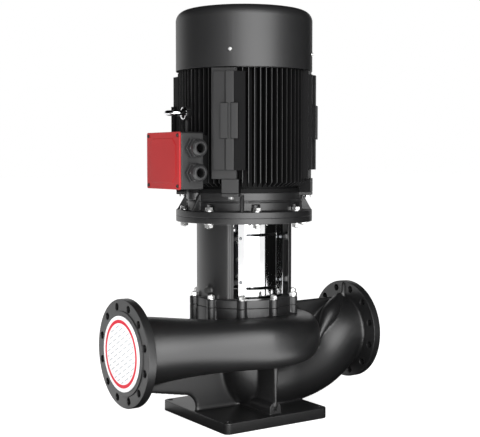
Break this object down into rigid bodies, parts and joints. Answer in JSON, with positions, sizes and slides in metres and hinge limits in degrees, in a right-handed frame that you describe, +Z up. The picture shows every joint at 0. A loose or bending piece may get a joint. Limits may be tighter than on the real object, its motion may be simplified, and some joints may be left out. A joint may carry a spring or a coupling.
{
  "type": "vertical in-line centrifugal pump",
  "caption": "Vertical in-line centrifugal pump: volute casing with in-line pipe flanges on a square base, windowed bracket with guarded coupling, and a flange-mounted finned motor.",
  "frame": {"origin": "centre of the square base plate at its underside, on the shaft axis", "axes": "+Z up along the shaft, +X towards the suction flange, -Y towards the front coupling guard"},
  "size_m": [0.918, 0.4983, 1.332],
  "materials": {
    "black_paint": "satin black enamel on cast iron",
    "zinc_steel": "bright zinc plate",
    "bearing_steel": "ground",
    "core_steel": "stacked sheet",
    "stainless": "polished stainless steel",
    "chrome": "bright plated",
    "bronze": "machined bronze",
    "black_rubber": "matt",
    "black_plastic": "matt polyamide",
    "red_paint": "satin red enamel",
    "white_plastic": "printed white sheet with a red ring",
    "copper_winding": "varnished copper"
  },
  "bodies": {
    "frame": {"pump_casing": "black_paint", "casing_wear_ring": "bronze", "drain_plug": "zinc_steel", "vent_plug": "black_plastic", "casing_gasket": "black_rubber", "casing_cover": "black_paint", "seal_seat": "black_rubber", "motor_bracket": "black_paint", "bracket_studs": "zinc_steel", "bracket_nuts": "zinc_steel", "guard_front": "stainless", "guard_rear": "stainless", "guard_screws": "zinc_steel", "flange_bolts": "zinc_steel", "flange_nuts": "zinc_steel", "drive_endshield": "black_paint", "endshield_screws": "zinc_steel", "drive_bearing_outer": "bearing_steel", "motor_frame": "black_paint", "stator_core": "core_steel", "stator_windings": "copper_winding", "fan_endshield": "black_paint", "fan_bearing_outer": "bearing_steel", "fan_cowl": "black_paint", "cowl_screws": "zinc_steel", "terminal_box": "black_paint", "box_screws": "zinc_steel", "box_gasket": "black_rubber", "terminal_cover": "red_paint", "cover_screws": "black_plastic", "terminal_block": "black_plastic", "gland_bodies": "black_plastic", "gland_nuts": "black_plastic", "gland_seals": "black_rubber", "lifting_eye": "chrome"},
    "rotor": {"impeller": "bronze", "impeller_key": "zinc_steel", "impeller_nut": "stainless", "seal_head": "stainless", "seal_spring": "stainless", "seal_collar": "stainless", "pump_shaft": "stainless", "coupling_shell_front": "zinc_steel", "coupling_shell_rear": "zinc_steel", "coupling_screws": "zinc_steel", "drive_bearing_inner": "bearing_steel", "drive_bearing_balls": "bearing_steel", "rotor_core": "core_steel", "motor_shaft": "zinc_steel", "fan_bearing_inner": "bearing_steel", "fan_bearing_balls": "bearing_steel", "cooling_fan": "black_plastic"},
    "discharge_cover": {"discharge_transit_cover": "white_plastic"},
    "suction_cover": {"suction_transit_cover": "white_plastic"}
  },
  "joints": [
    {"name": "shaft_spin", "type": "hinge", "parent": "frame", "child": "rotor", "pos_m": [0, 0, 0.4], "axis": [0, 0, 1], "continuous": true},
    {"name": "discharge_cover_pull", "type": "slide", "parent": "frame", "child": "discharge_cover", "axis": [-1, 0, 0], "range_m": [0, 0.15]},
    {"name": "suction_cover_pull", "type": "slide", "parent": "frame", "child": "suction_cover", "axis": [1, 0, 0], "range_m": [0, 0.15]}
  ]
}
